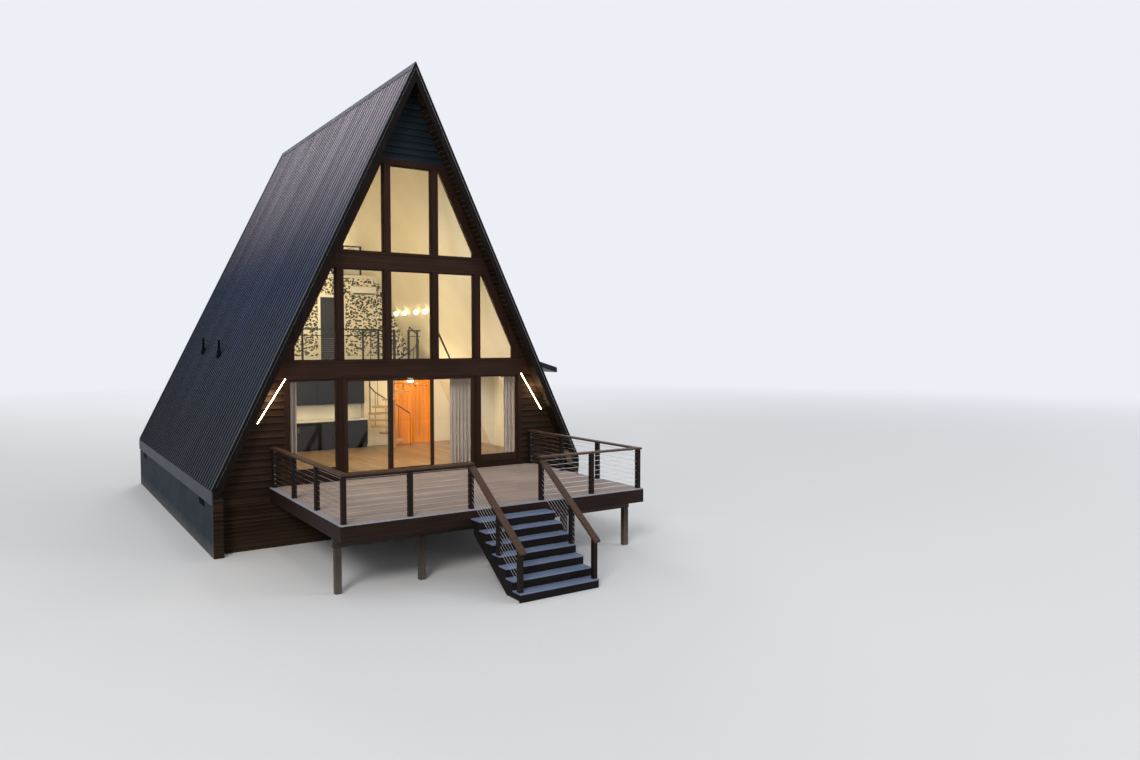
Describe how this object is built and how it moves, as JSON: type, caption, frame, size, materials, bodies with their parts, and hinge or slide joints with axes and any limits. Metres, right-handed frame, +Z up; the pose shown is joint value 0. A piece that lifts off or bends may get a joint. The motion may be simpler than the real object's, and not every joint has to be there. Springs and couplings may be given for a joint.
{
  "type": "a-frame cabin",
  "caption": "Steep A-frame cabin with ribbed metal roof slopes to low side walls, a fully glazed gable with sliding door, lofts and a raised front deck with cable railing and stair.",
  "frame": {"origin": "middle of the underside of the front foundation wall, at the ground level below the stair", "axes": "+X to the right along the front, +Y to the back of the house, +Z up"},
  "size_m": [10.0435, 18.0085, 11.397],
  "materials": {
    "lap_siding": "stained dark brown lap siding",
    "belt_boards": "stained dark brown boards",
    "window_frames": "stained dark brown, satin",
    "window_glass": "clear glass",
    "roof_metal": "charcoal painted ribbed steel",
    "roof_flashing": "black painted steel trim",
    "rake_boards": "stained blue-black boards",
    "soffit_boards": "stained dark boards, satin",
    "roof_slab": "insulated timber slab",
    "room_lining": "painted warm white",
    "concrete": "dark grey coated concrete",
    "side_trim": "painted grey-brown board",
    "room_floor": "oiled wood planks",
    "upper_floors": "painted white edge and underside",
    "patterned_wall": "papered wall, dark leaf motif on white",
    "dark_door": "painted near-black",
    "wood_panel": "varnished orange-brown boards",
    "black_steel": "black powder coat",
    "kitchen_fronts": "painted near-black doors, white worktop",
    "white_plastic": "white moulded plastic",
    "oak_treads": "oiled oak",
    "deck_boards": "grey composite decking",
    "deck_fascia": "brown composite fascia",
    "deck_timber": "stained dark framing timber",
    "rail_posts": "stained near-black posts",
    "rail_caps": "brown composite cap boards",
    "steel_cable": "stainless cable"
  },
  "bodies": {
    "cabin": {"air_unit": "white_plastic", "back_wall": "lap_siding", "belt_boards": "belt_boards", "deck_beam": "deck_timber", "deck_boards": "deck_boards", "deck_cables": "steel_cable", "deck_fascia": "deck_fascia", "deck_joists": "deck_timber", "deck_posts": "deck_timber", "door_frame": "window_frames", "dormer_glass": "window_glass", "dormer_roof": "roof_metal", "dormer_walls": "lap_siding", "fixed_door_panels": "window_frames", "foundation_end_walls": "concrete", "foundation_side_walls": "concrete", "front_wall_upper": "lap_siding", "front_walls_beside_door": "lap_siding", "ground_floor": "room_floor", "ground_partition": "room_lining", "inside_guards": "black_steel", "kitchen_units": "kitchen_fronts", "loft_door": "dark_door", "loft_floor": "upper_floors", "loft_partition": "patterned_wall", "railing_caps": "rail_caps", "railing_posts": "rail_posts", "rake_fascias": "rake_boards", "roof_flashings": "roof_flashing", "roof_left": "roof_slab", "roof_linings": "room_lining", "roof_metal_left": "roof_metal", "roof_metal_right": "roof_metal", "roof_right": "roof_slab", "roof_vents": "black_steel", "side_trim_boards": "side_trim", "soffits": "soffit_boards", "spiral_stair_pole": "oak_treads", "spiral_stair_rail": "black_steel", "spiral_stair_treads": "oak_treads", "stair_cables": "steel_cable", "stair_risers": "deck_timber", "stair_stringers": "deck_timber", "stair_treads": "deck_boards", "upper_floor": "upper_floors", "window_frames": "window_frames", "window_glass": "window_glass", "wood_wall_boards": "wood_panel"},
    "sliding_door": {"sliding_door_panel": "window_frames", "sliding_door_glass": "window_glass"}
  },
  "joints": [
    {"name": "door_slide", "type": "slide", "parent": "cabin", "child": "sliding_door", "axis": [-1, 0, 0], "range_m": [0, 1.05]}
  ]
}
